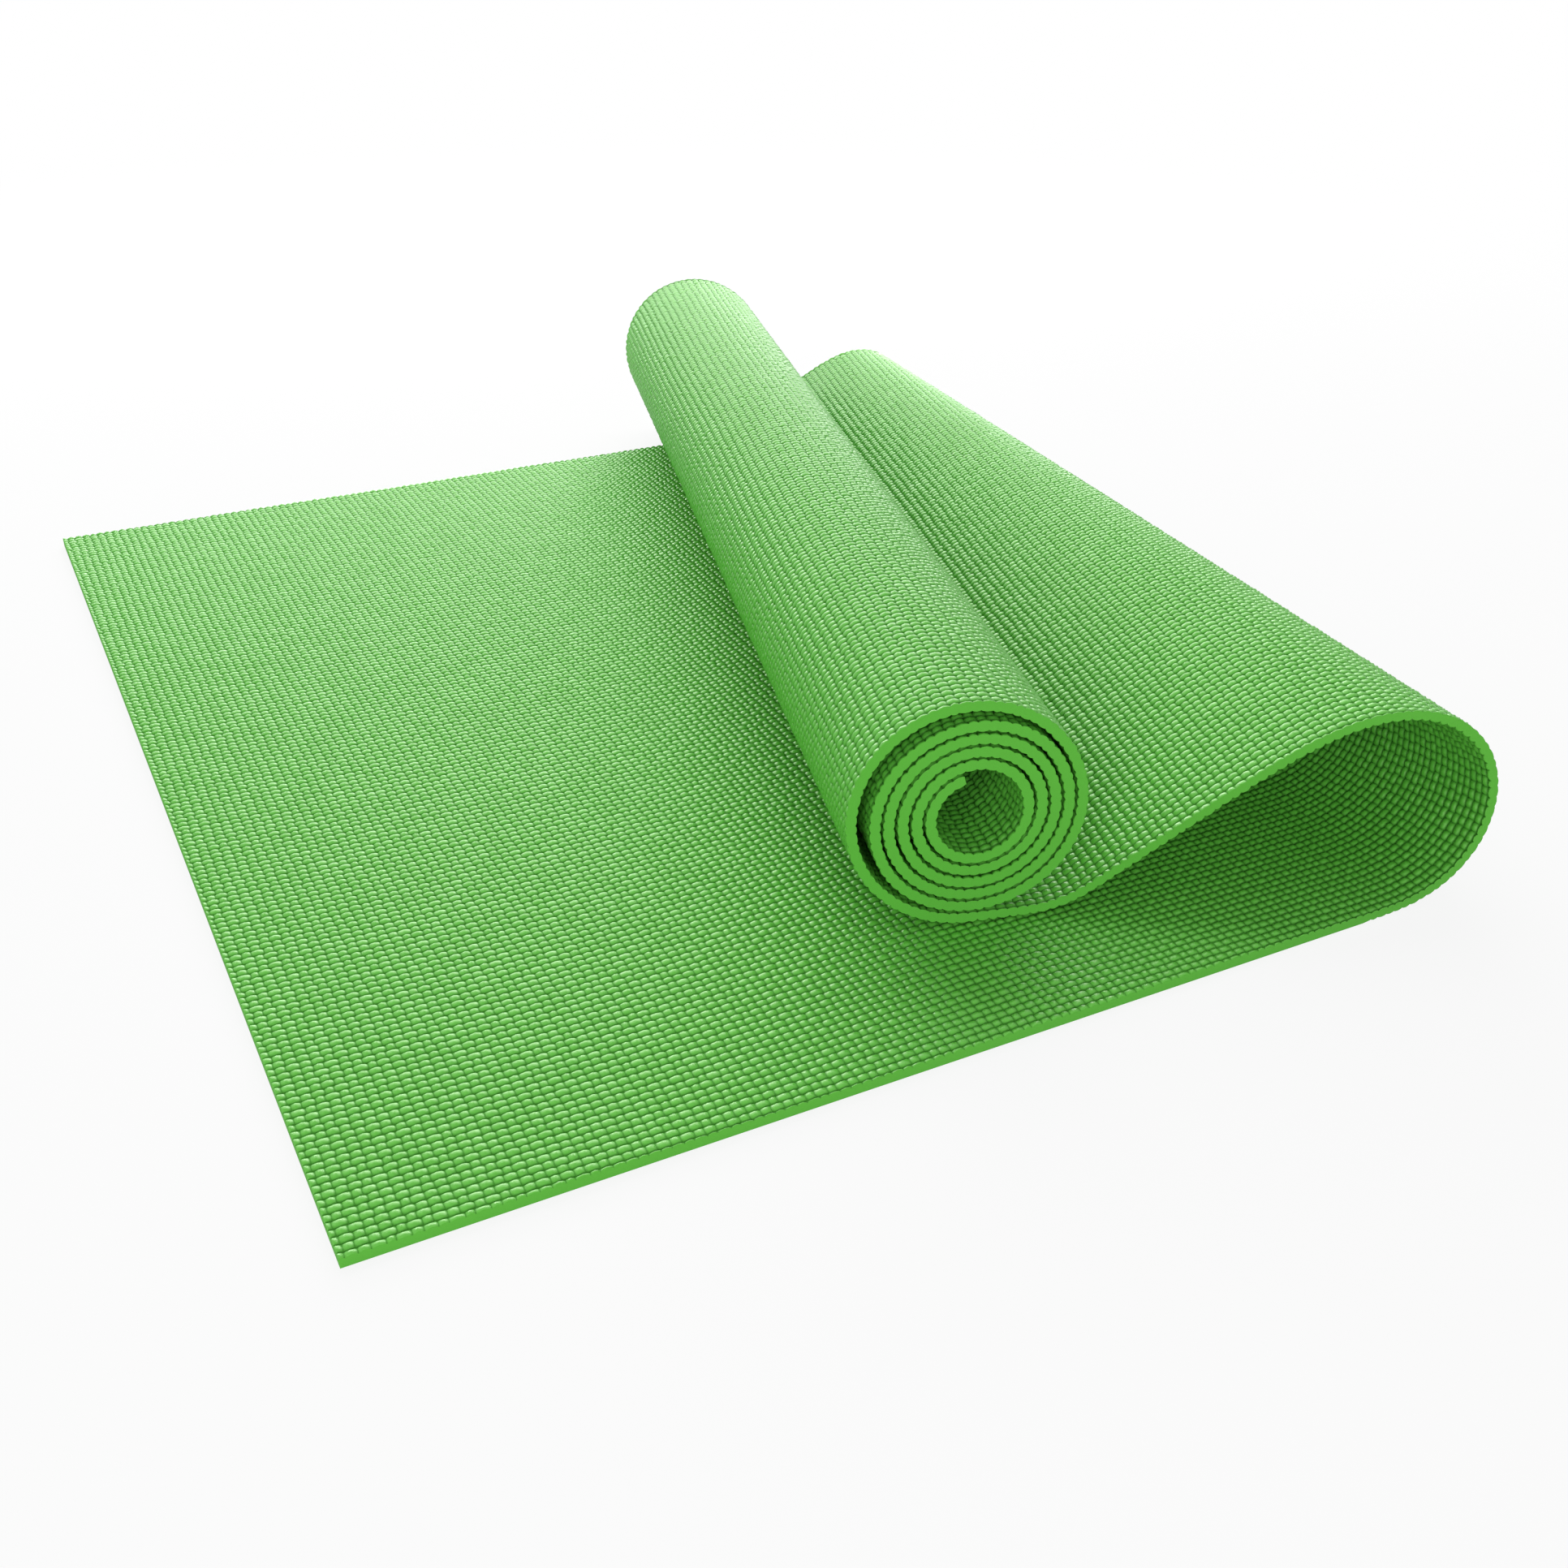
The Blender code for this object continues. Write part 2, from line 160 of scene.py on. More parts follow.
class FoldProfile:
    """The fold seen along its bending lines, measured at the near edge, as the solids have it."""

    def __init__(self):
        low, high = BEND_LENGTH / 2, 2 * BEND_LENGTH
        for _ in range(SOLVER_STEPS):
            self.touchdown = (low + high) / 2
            self.trace()
            if self.rise[-1] > STACK_HEIGHT:
                low = self.touchdown
            else:
                high = self.touchdown
        rays = (self.reach[:, None] * SKEW_ALONG - APEX_DISTANCE * SKEW_ACROSS
                + self.rise[:, None] * UP)
        self.ray_length = np.linalg.norm(rays, axis=1)
        self.ray = unit(rays)
        steps = np.linalg.norm(np.diff(self.ray, axis=0), axis=1)
        self.fan_angle = np.concatenate([[0.0], np.cumsum(steps)])
        self.normal = unit(np.cross(self.ray, np.gradient(self.ray, axis=0)))
        self.lifted_share = ease(self.along / self.end)

    def trace(self):
        """Samples the curve for the present touchdown, with a level tail after it."""
        self.end = self.touchdown + TOUCHDOWN_LENGTH
        self.along = np.linspace(0.0, self.end + MAT_WIDTH, SAMPLES)
        step = self.along[1]
        self.heading = self.heading_at(self.along)
        self.reach = running_sum(np.cos(self.heading), step)
        self.rise = running_sum(np.sin(self.heading), step)

    def heading_at(self, along):
        """The strip's direction of travel at a distance past the lift-off."""
        bend_share = np.clip(along / BEND_LENGTH, 0.0, 1.0) ** BEND_LEAN
        back_share = (along - self.touchdown) / TOUCHDOWN_LENGTH
        return BEND_TURN * ease(bend_share) - (BEND_TURN - math.pi) * ease(back_share)

    def along_at_heading(self, heading):
        """Where the main bend has turned through this angle."""
        bend = self.along < BEND_LENGTH
        return float(np.interp(heading, self.heading[bend], self.along[bend]))

    def bending_line(self, along):
        """Where this bending line crosses the near and the far edge of the strip."""
        slope = math.tan(float(np.interp(along, self.along, self.fan_angle)))
        crossings = []
        for across in (0.0, MAT_WIDTH):
            top = slope * (APEX_DISTANCE - across * SKEW_ACROSS[1]) + across * SKEW_ACROSS[0]
            crossings.append(LIFT_OFF + top / (SKEW_ALONG[0] + slope * SKEW_ACROSS[0]))
        return tuple(crossings)

    def point(self, along, across, height):
        """Points of the base run, the fold and the upper run, from strip coordinates."""
        from_apex = np.stack([along, across, 0 * along], axis=-1) - APEX
        angle = np.arctan2(from_apex @ SKEW_ALONG, -(from_apex @ SKEW_ACROSS))
        distance = np.linalg.norm(from_apex, axis=-1)
        ray = unit(self.read(angle, self.ray))
        normal = unit(self.read(angle, self.normal))
        narrowing = distance / np.interp(angle, self.fan_angle, self.ray_length)
        lifted = np.interp(angle, self.fan_angle, self.lifted_share)
        levelling = STACK_HEIGHT * lifted * (1 - narrowing) + HALF_THICKNESS
        folded = (APEX + distance[:, None] * ray + levelling[:, None] * UP
                  + height[:, None] * normal)
        flat = np.stack([along, across, HALF_THICKNESS + height], axis=-1)
        return np.where((angle <= 0)[:, None], flat, folded)

    def read(self, angle, samples):
        """Sampled vectors at these fan angles."""
        columns = [np.interp(angle, self.fan_angle, samples[:, axis]) for axis in range(3)]
        return np.stack(columns, axis=-1)


class Roll:
    """The winding, as the solids have it: a spiral whose outermost turn is loose."""

    def __init__(self, fold):
        touchdown_edges = fold.bending_line(fold.end)
        self.start = max(touchdown_edges) + REST_RUN
        corners = fold.point(np.array([self.start, self.start]), np.array([0.0, MAT_WIDTH]),
                             np.zeros(2))
        self.across = unit((corners[1] - corners[0]) * (1 - UP))
        self.along = np.cross(UP, self.across)
        self.foot = corners[0]
        wound_length = MAT_LENGTH - self.start
        inner_radius = BORE_RADIUS + HALF_THICKNESS
        self.end = wound_length / inner_radius
        for _ in range(SOLVER_STEPS):
            self.outer_radius = inner_radius + ROLL_PITCH * self.end / (2 * np.pi)
            self.trace()
            self.end += (wound_length - self.arc[-1]) / self.outer_radius

    def trace(self):
        """Samples the spiral for the present end of its sweep."""
        self.sweep = np.linspace(0.0, self.end, SAMPLES)
        self.radius = self.radius_at(self.sweep)
        level = self.radius * np.sin(self.sweep)
        upright = self.outer_radius - self.radius * np.cos(self.sweep)
        steps = np.hypot(np.diff(level), np.diff(upright))
        self.arc = np.concatenate([[0.0], np.cumsum(steps)])
        self.radius_rate = np.gradient(self.radius, self.sweep)
        self.heading = self.sweep - np.arctan2(self.radius_rate, self.radius)

    def sweep_at_heading(self, heading):
        """Where the roll's first turn has turned the strip through this angle."""
        return float(np.interp(heading, self.heading, self.sweep))

    def radius_at(self, sweep):
        """The spiral's radius, to the middle of the strip."""
        wound = sweep / (2 * np.pi) * (1 - np.exp(-(sweep / START_SOFTNESS) ** 2))
        loose = np.where(sweep < LOOSE_SPAN, np.sin(np.pi * sweep / LOOSE_SPAN) ** 2, 0.0)
        return self.outer_radius - ROLL_PITCH * wound + LOOSE_GAP * loose

    def line(self, sweep):
        """Where the roll's bending line at this sweep crosses the strip's two edges."""
        along = self.start + float(np.interp(sweep, self.sweep, self.arc))
        return (along, along)

    def point(self, along, across, height):
        """Points of the roll, from strip coordinates."""
        sweep = np.interp(along - self.start, self.arc, self.sweep)
        radius = np.interp(sweep, self.sweep, self.radius)
        rate = np.interp(sweep, self.sweep, self.radius_rate)
        travel_level = rate * np.sin(sweep) + radius * np.cos(sweep)
        travel_up = radius * np.sin(sweep) - rate * np.cos(sweep)
        travel = np.hypot(travel_level, travel_up)
        level = radius * np.sin(sweep) + height * travel_up / travel
        upright = self.outer_radius - radius * np.cos(sweep) - height * travel_level / travel
        return (self.foot + level[:, None] * self.along + across[:, None] * self.across
                + upright[:, None] * UP)


FOLD = FoldProfile()
ROLL = Roll(FOLD)


def turned_point(along, across, height):
    """Points of the mat with the roll along Y, before they are moved into the frame."""
    flat_and_fold = FOLD.point(np.minimum(along, ROLL.start), across, height)
    wound = ROLL.point(np.maximum(along, ROLL.start), across, height)
    laid_out = np.where((along > ROLL.start)[:, None], wound, flat_and_fold)
    return laid_out @ np.stack([-ROLL.along, ROLL.across, UP], axis=1)


def move_into_frame():
    """The move that lays the free end's corners where the solids have them."""
    corners = turned_point(np.zeros(2), np.array([0.0, MAT_WIDTH]), np.zeros(2))
    move = np.array(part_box("base_run_floor_foam")[0]) - corners.min(axis=0)
    return move * (1 - UP)


MOVE = move_into_frame()


def strip_point(along, across, height):
    """Points of the mat in the frame, from strip coordinates."""
    return turned_point(along, across, height) + MOVE


class BumpField:
    """The bumps of one face: where each begins and ends, and how high it stands.

    Bump (i, j) is the i-th along the mat in the j-th row. The outermost rows and columns are
    cut through by the mat's edges.
    """

    def __init__(self, seed, side):
        rng = np.random.default_rng(seed)
        self.side = side
        self.columns = math.ceil(MAT_LENGTH / BUMP_LENGTH + EDGE_CUT_SHARE)
        self.rows = math.ceil(MAT_WIDTH / BUMP_WIDTH + EDGE_CUT_SHARE)
        count = np.arange(self.columns + 1)[:, None]
        row = np.arange(self.rows)[None, :]
        groove = np.arange(self.rows + 1)[None, :]
        noise = rng.uniform(-1, 1, (self.columns + 1, self.rows))
        zigzag = ZIGZAG_SHARE * (-1.0) ** (count + row) + JITTER_SHARE * noise
        self.begins = BUMP_LENGTH * (count - EDGE_CUT_SHARE + zigzag)
        self.begins += COLUMN_WAVE * self.drift(BUMP_LENGTH * count, BUMP_WIDTH * row, COLUMN_PHASE)
        noise = rng.uniform(-1, 1, (self.columns + 1, self.rows + 1))
        inner = (groove > 0) & (groove < self.rows)
        self.grooves = BUMP_WIDTH * (groove - EDGE_CUT_SHARE + GROOVE_JITTER_SHARE * noise * inner)
        self.grooves += ROW_WAVE * self.drift(BUMP_WIDTH * groove, BUMP_LENGTH * count, ROW_PHASE)
        noise = rng.uniform(0, 1, (self.columns, self.rows))
        self.rise = (GROOVE_DEPTH + PEAK_HEIGHT) * (1 - HEIGHT_JITTER_SHARE * noise)

    def drift(self, place, other, phase):
        """The lattice's slow waves, by which the mat's edges cut more or less of their bumps."""
        turn = 2 * np.pi / SLOW_WAVE_LENGTH
        return np.sin(turn * (other + place / SLOW_WAVE_SLANT) + phase + self.side)

    def sample(self, count, row, shares):
        """Strip coordinates, dome share and full rise at sample numbers along and across."""
        steps = len(shares)
        shares = np.array(shares)
        column = np.minimum(count // steps, self.columns - 1)
        lane = np.minimum(row // steps, self.rows - 1)
        share = np.where(count // steps > column, 1.0, shares[count % steps])
        lane_share = np.where(row // steps > lane, 1.0, shares[row % steps])
        on_groove = (row % steps) == 0
        along, dome_along = self.along_share(column, lane, share)
        below, _ = self.along_share(column, np.maximum(lane - (row // steps == lane), 0), share)
        along = np.where(on_groove, (along + below) / 2, along)
        low = self.grooves[column, lane]
        low = low + share * (self.grooves[column + 1, lane] - low)
        high = self.grooves[column, lane + 1]
        high = high + share * (self.grooves[column + 1, lane + 1] - high)
        first = np.where(lane == 0, (0.0 - low) / (high - low), 0.0)
        last = np.where(lane == self.rows - 1, (MAT_WIDTH - low) / (high - low), 1.0)
        lane_share = first + (last - first) * lane_share
        across = low + lane_share * (high - low)
        dome_across = self.dome(lane_share)
        saddle = ROW_SADDLE_SHARE * dome_along + COLUMN_SADDLE_SHARE * dome_across
        crown_share = 1 - ROW_SADDLE_SHARE - COLUMN_SADDLE_SHARE
        dome = crown_share * dome_along * dome_across + saddle
        return along, across, dome, self.rise[column, lane]

    def along_share(self, column, lane, share):
        """Where a share of a bump's length lies, and the dome's height there as a share."""
        start = self.begins[column, lane]
        end = self.begins[column + 1, lane]
        first = np.where(column == 0, (0.0 - start) / (end - start), 0.0)
        last = np.where(column == self.columns - 1, (MAT_LENGTH - start) / (end - start), 1.0)
        share = first + (last - first) * share
        return start + share * (end - start), self.dome(share)

    def rim_share(self, along):
        """How much of the grooves' depth is left at a cut edge: none where it is on the floor."""
        if self.side > 0:
            return np.where(along < ROLL.start, OPEN_RIM_SHARE, WOUND_RIM_SHARE)
        return np.where(along < LIFT_OFF, 0.0, WOUND_RIM_SHARE)

    def dome(self, share):
        """A bump's rounded section: 0 at its grooves, 1 at its middle."""
        return 1 - np.abs(2 * share - 1) ** DOME_POWER

    def place(self, count, row, shares):
        """Points in the frame, with their strip coordinates and dome shares."""
        along, across, dome, rise = self.sample(count, row, shares)
        to_edge = np.minimum(np.minimum(across, MAT_WIDTH - across),
                             np.minimum(along, MAT_LENGTH - along))
        rounding = 1 - np.clip(to_edge / RIM_RADIUS, 0.0, 1.0)
        rim_share = self.rim_share(along)
        scallop = rim_share + (1 - rim_share) * ease(to_edge / RIM_MELT)
        sunk = GROOVE_DEPTH + PEAK_HEIGHT - rise * dome
        height = HALF_THICKNESS + PEAK_HEIGHT - sunk * scallop
        height = height - RIM_RADIUS * (1 - np.sqrt(1 - rounding ** 2))
        height = height * self.side
        places = strip_point(along, across, height)
        return places, np.stack([along, across, height], axis=-1), dome


PRACTICE = BumpField(PRACTICE_SEED, 1)
FLOOR = BumpField(FLOOR_SEED, -1)
COLUMNS, ROWS = PRACTICE.columns, PRACTICE.rows


def cell_middles():
    """Nominal middles of the lattice's cells, the same on both faces."""
    along = BUMP_LENGTH * (np.arange(COLUMNS) + MIDDLE_SHARE - EDGE_CUT_SHARE)
    across = BUMP_WIDTH * (np.arange(ROWS) + MIDDLE_SHARE - EDGE_CUT_SHARE)
    return np.meshgrid(along, across, indexing="ij")


CELL_ALONG, CELL_ACROSS = cell_middles()


def past(line):
    """Which cells lie past a bending line, given by its crossings of the two edges."""
    return CELL_ALONG > line[0] + (line[1] - line[0]) * CELL_ACROSS / MAT_WIDTH


def levels():
    """For each face, which cells are bumped in full, bumped more coarsely, or left plain."""
    near_end = (CELL_ACROSS < WOUND_END) | (CELL_ACROSS > MAT_WIDTH - WOUND_END)
    bore = CELL_ALONG > MAT_LENGTH - BORE_SHOWN
    wound = ~near_end & (CELL_ALONG > FIRST_TURN_END)
    wound_inside = ~near_end & ~bore & (CELL_ALONG > FIRST_TURN_END)
    under = ~past(FOLD.bending_line(0.0))
    return ((PRACTICE, FULL_SHARES, ~wound), (PRACTICE, PLAIN_SHARES, wound),
            (FLOOR, FULL_SHARES, ~under & ~wound_inside), (FLOOR, UNDERSIDE_SHARES, under),
            (FLOOR, PLAIN_SHARES, wound_inside))


LEVELS = levels()


def triangles_in_rows(cells):
    """How many triangles a piece with these cells has, row by row."""
    return sum(2 * len(shares) ** 2 * (shown & cells).sum(axis=0) for _, shares, shown in LEVELS)


def row_bands(cells):
    """The cells in as few bands of rows as keep each band's triangles within bounds."""
    totals = np.cumsum(triangles_in_rows(cells))
    bands = math.ceil(totals[-1] / MOST_TRIANGLES)
    band = np.minimum((totals - 1) * bands // totals[-1], bands - 1)
    return [cells & (band == number)[None, :] for number in range(bands)]


def face_patch(field, shares, cells):
    """One face's vertices, strip coordinates, quads, dome and cut shares, and groove numbers.

    A groove number is -1 off the grooves. There is one for either direction of the grooves.
    """
    steps = len(shares)
    column, lane = np.nonzero(cells)
    offset = np.arange(steps)
    count = (column[:, None, None] * steps + offset[:, None] + 0 * offset).reshape(-1)
    row = (lane[:, None, None] * steps + 0 * offset[:, None] + offset).reshape(-1)
    stride = ROWS * steps + 1
    corner = count * stride + row
    quads = np.stack([corner, corner + stride, corner + stride + 1, corner + 1], axis=-1)
    if field.side < 0:
        quads = quads[:, ::-1]
    used, quads = np.unique(quads, return_inverse=True)
    quads = quads.reshape(-1, QUAD_CORNERS)
    count, row = used // stride, used % stride
    places, strip, dome = field.place(count, row, shares)
    groove_along = np.where(row % steps == 0, row, -1)
    groove_across = np.where(count % steps == 0, count, -1)
    return places, strip, quads, dome, 0 * dome, groove_along, groove_across


def wall_patch(rim, facing):
    """A cut edge's flat wall between the two faces' rims, given as face_patch gives a face."""
    steps = len(FULL_SHARES)
    count, row = rim
    segments = len(count) - 1
    top, strip_top, _ = PRACTICE.place(count, row, FULL_SHARES)
    bottom, strip_bottom, _ = FLOOR.place(count, row, FULL_SHARES)
    share = np.linspace(0.0, 1.0, WALL_ROWS)[:, None, None]
    places = (top * (1 - share) + bottom * share).reshape(-1, 3)
    strip = (strip_top * (1 - share) + strip_bottom * share).reshape(-1, 3)
    level, step = np.meshgrid(np.arange(WALL_ROWS - 1), np.arange(segments), indexing="ij")
    corner = (level * (segments + 1) + step).reshape(-1)
    below = corner + segments + 1
    quads = np.stack([corner, below, below + 1, corner + 1], axis=-1)
    if facing < 0:
        quads = quads[:, ::-1]
    full = np.ones(len(places))
    no_groove = np.full(len(places), -1)
    return places, strip, quads, full, full, no_groove, no_groove


def runs(flags):
    """The first number of each run of set flags, and the number after its last."""
    edges = np.flatnonzero(np.diff(np.concatenate([[0], flags.astype(int), [0]])))
    return zip(edges[::2], edges[1::2])


def walls(cells):
    """The cut edges that belong to these cells, as patches."""
    steps = len(FULL_SHARES)
    patches = []
    for row, flags, facing in ((0, cells[:, 0], 1), (ROWS * steps, cells[:, -1], -1)):
        for first, stop in runs(flags):
            count = np.arange(first * steps, stop * steps + 1)
            patches.append(wall_patch((count, np.full(len(count), row)), facing))
    for count, flags, facing in ((0, cells[0], -1), (COLUMNS * steps, cells[-1], 1)):
        for first, stop in runs(flags):
            row = np.arange(first * steps, stop * steps + 1)
            patches.append(wall_patch((np.full(len(row), count), row), facing))
    return patches


def merge(patches):
    """Several patches as one, with the quads renumbered."""
    places, strip, quads, *others = zip(*patches)
    starts = np.cumsum([0] + [len(part) for part in places])
    quads = np.concatenate([part + start for part, start in zip(quads, starts)])
    places, strip, *others = [np.concatenate(kind) for kind in (places, strip, *others)]
    return places, strip, quads, *others


def groove_edges(mesh, groove_numbers):
    """Which of a mesh's edges run along the bottom of a groove."""
    edges = np.empty(2 * len(mesh.edges), dtype=np.int32)
    mesh.edges.foreach_get("vertices", edges)
    first, second = edges.reshape(-1, 2).T
    found = np.zeros(len(mesh.edges), dtype=bool)
    for number in groove_numbers:
        found |= (number[first] >= 0) & (number[first] == number[second])
    return found


def add_attribute(mesh, name, kind, values):
    """A named attribute on a mesh's vertices, or on its edges where it is a yes or no."""
    domain = "EDGE" if kind == "BOOLEAN" else "POINT"
    key = "vector" if kind == "FLOAT_VECTOR" else "value"
    attribute = mesh.attributes.new(name, kind, domain)
    attribute.data.foreach_set(key, values)


def add_piece(name, cells, surface):
    """One mesh with both faces and any cut edges of the given cells."""
    patches = [face_patch(field, shares, shown & cells)
               for field, shares, shown in LEVELS if (shown & cells).any()]
    places, strip, quads, dome, cut, *groove_numbers = merge(patches + walls(cells))
    mesh = bpy.data.meshes.new(name)
    mesh.vertices.add(len(places))
    mesh.vertices.foreach_set("co", places.astype(np.float32).ravel())
    mesh.loops.add(quads.size)
    mesh.loops.foreach_set("vertex_index", quads.astype(np.int32).ravel())
    mesh.polygons.add(len(quads))
    loop_starts = np.arange(0, quads.size, QUAD_CORNERS, dtype=np.int32)
    mesh.polygons.foreach_set("loop_start", loop_starts)
    mesh.update(calc_edges=True)
    mesh.shade_smooth()
    add_attribute(mesh, "sharp_edge", "BOOLEAN", groove_edges(mesh, groove_numbers))
    add_attribute(mesh, "strip_place", "FLOAT_VECTOR", strip.astype(np.float32).ravel())
    add_attribute(mesh, "dome_share", "FLOAT", dome.astype(np.float32))
    add_attribute(mesh, "cut_share", "FLOAT", cut.astype(np.float32))
    mesh.materials.append(surface)
    piece = bpy.data.objects.new(name, mesh)
    bpy.context.scene.collection.objects.link(piece)
    return piece


def dress(name, first, last, bodies, nodes, surface):
    """The pieces between two bending lines, on one body or bent between two."""
    cells = past(first) if first is not None else np.ones((COLUMNS, ROWS), dtype=bool)
    if last is not None:
        cells = cells & ~past(last)
    bands = row_bands(cells)
    for number, band in enumerate(bands):
        piece_name = name if len(bands) == 1 else f"{name}_band_{number + 1}"
        piece = add_piece(piece_name, band, surface)
        if len(bodies) == 1:
            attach(piece, bodies[0])
        else:
            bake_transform(piece)
        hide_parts(*[f"{node}_{layer}" for node in nodes for layer in LAYERS])


def dress_all(surface):
    """Every piece of the mat, from its free end to the middle of the roll."""
    bends = [FOLD.bending_line(FOLD.along_at_heading(count * BEND_STEP))
             for count in range(FOLD_HINGES)] + [FOLD.bending_line(BEND_LENGTH)]
    curls = [ROLL.line(ROLL.sweep_at_heading(count * TURN_STEP))
             for count in range(TURN_HINGES + 1)]
    landing = FOLD.bending_line(FOLD.touchdown)
    landed = FOLD.bending_line(FOLD.end)
    core_nodes = list(CORE_PIECES)

    dress("base", None, bends[0], ["base"], ["base_run", "base_lift"], surface)
    fold_bodies = ["base"] + [f"fold_{count + 1}" for count in range(FOLD_HINGES - 1)]
    fold_bodies.append("upper_ramp")
    for count, (first, last) in enumerate(zip(bends, bends[1:])):
        pair = fold_bodies[count:count + 2]
        dress(f"fold_bend_{count + 1}", first, last, pair, [pair[1]], surface)
    dress("ramp", bends[-1], landing, ["upper_ramp"], ["upper_ramp"], surface)
    dress("landing_bend", landing, landed, ["upper_ramp", "upper_run"], ["upper_run"], surface)
    dress("rest_run", landed, curls[0], ["upper_run"], ["upper_run"], surface)
    turn_bodies = ["upper_run"] + [f"turn_{count + 1}" for count in range(TURN_HINGES - 1)]
    turn_bodies.append("roll_core")
    for count, (first, last) in enumerate(zip(curls, curls[1:])):
        pair = turn_bodies[count:count + 2]
        nodes = core_nodes if pair[1] == "roll_core" else [pair[1]]
        dress(f"turn_bend_{count + 1}", first, last, pair, nodes, surface)
    dress("core", curls[-1], None, ["roll_core"], core_nodes, surface)


# The foam's colour and finish, on the crests, in the grooves and on the cut edges. The grooves'
# darker colour is painted shade.
FOAM_COLOUR = (0.106, 0.456, 0.045)
FOAM_DARKER = (0.093, 0.415, 0.039)
FOAM_ROUGHNESS = 0.35
FOAM_SPECULAR = 0.65
SPECULAR_COLOUR = (0.93, 1.0, 0.75)
# Painted shade: the colour at the bottom of the grooves, fading to the foam's colour at the groove
# top share of a dome's height
GROOVE_SHADE_COLOUR = (0.038, 0.205, 0.016)
GROOVE_ROUGHNESS = 0.85
GROOVE_SPECULAR = 0.2
GROOVE_TOP_SHARE = 0.6
CUT_COLOUR = (0.087, 0.394, 0.035)
CUT_ROUGHNESS = 1.0
MOTTLE_SIZE = 0.02
MOTTLE_DETAIL = 4.0
PORE_SIZE = 0.00035
PORE_DETAIL = 2.0
PORE_DEPTH = 0.00006


def fill_inputs(tree, node, inputs):
    """Sets a node's inputs to plain values, or links them where another node's output is given."""
    for key, value in inputs.items():
        socket = node.inputs[key.replace("_", " ")]
        if isinstance(value, bpy.types.NodeSocket):
            tree.links.new(value, socket)
        else:
            socket.default_value = value


def add_node(tree, kind, **inputs):
    """A shader node with some of its inputs set."""
    node = tree.nodes.new(kind)
    fill_inputs(tree, node, inputs)
    return node


def mixed(tree, kind, factor, first, second):
    """A mix of two colours or two numbers, from the first at 0 to the second at 1."""
    node = tree.nodes.new("ShaderNodeMix")
    node.data_type = kind
    fill_inputs(tree, node, {"Factor": factor, "A": first, "B": second})
    return node.outputs["Result"]


def mesh_value(tree, name, output):
    """A value that the mesh carries."""
    node = tree.nodes.new("ShaderNodeAttribute")
    node.attribute_name = name
    return node.outputs[output]


def smooth_steps(tree, value, **inputs):
    """A value brought to another range, with a soft start and end."""
    node = add_node(tree, "ShaderNodeMapRange", Value=value, **inputs)
    node.interpolation_type = "SMOOTHSTEP"
    return node.outputs["Result"]


def out_of_groove(tree, groove, crest, height):
    """A number that goes from its value in the grooves to its value on the crests."""
    node = add_node(tree, "ShaderNodeMapRange", Value=height, To_Min=groove, To_Max=crest)
    return node.outputs["Result"]


def foam_colour(tree, place, height, cut):
    """Mottled green, with painted shade darkening the grooves, and even on the cut edges."""
    mottle = add_node(tree, "ShaderNodeTexNoise", Vector=place, Scale=1 / MOTTLE_SIZE,
                      Detail=MOTTLE_DETAIL)
    green = mixed(tree, "RGBA", mottle.outputs["Fac"], (*FOAM_DARKER, 1.0), (*FOAM_COLOUR, 1.0))
    # Painted shade: the grooves darkened towards their bottoms
    groove_shaded = mixed(tree, "RGBA", height, (*GROOVE_SHADE_COLOUR, 1.0), green)
    return mixed(tree, "RGBA", cut, groove_shaded, (*CUT_COLOUR, 1.0))


def foam_pores(tree, place):
    """The fine unevenness of foam, as a normal."""
    pores = add_node(tree, "ShaderNodeTexNoise", Vector=place, Scale=1 / PORE_SIZE,
                     Detail=PORE_DETAIL)
    bump = add_node(tree, "ShaderNodeBump", Height=pores.outputs["Fac"], Strength=1.0,
                    Distance=PORE_DEPTH)
    return bump.outputs["Normal"]


def foam_material():
    """PVC foam, semi-matt on its crests, duller and darkened by painted shade in its grooves, and
    matt where it is cut.
    """
    surface = bpy.data.materials.new("green_pvc_foam")
    surface.use_nodes = True
    tree = surface.node_tree
    place = mesh_value(tree, "strip_place", "Vector")
    dome = mesh_value(tree, "dome_share", "Fac")
    cut = mesh_value(tree, "cut_share", "Fac")
    # How far a point stands out of its groove. It sets the painted shade in the grooves' colour,
    # and their roughness and specular level.
    height = smooth_steps(tree, dome, From_Max=GROOVE_TOP_SHARE)
    roughness = out_of_groove(tree, GROOVE_ROUGHNESS, FOAM_ROUGHNESS, height)
    fill_inputs(tree, tree.nodes["Principled BSDF"], {
        "Base Color": foam_colour(tree, place, height, cut),
        "Roughness": mixed(tree, "FLOAT", cut, roughness, CUT_ROUGHNESS),
        "Specular IOR Level": out_of_groove(tree, GROOVE_SPECULAR, FOAM_SPECULAR, height),
        "Specular Tint": (*SPECULAR_COLOUR, 1.0),
        "Normal": foam_pores(tree, place),
    })
    return surface


# The camera, as fitted to the photograph. Its place is in the frame.
FOCAL_PIXELS = 2097.86
PHOTO_PIXELS = 1932
SENSOR_WIDTH = 36.0
CAMERA_PLACE = (-0.08455, -0.73667, 0.36120)
CAMERA_YAW = -0.20824
CAMERA_PITCH = 0.52098
CAMERA_ROLL = 0.00526

# The studio. The floor's own glow hides all but a share of the shadow, and all of it far out.
FLOOR_SIZE = 12.0
FLOOR_DROP = 0.0003
FLOOR_COLOUR = (0.6, 0.6, 0.6)
FLOOR_GLOW_SHARE = 0.88
SHADOW_REACH = 0.7
SHADOW_END = 1.5
WORLD_LEVEL = 0.32

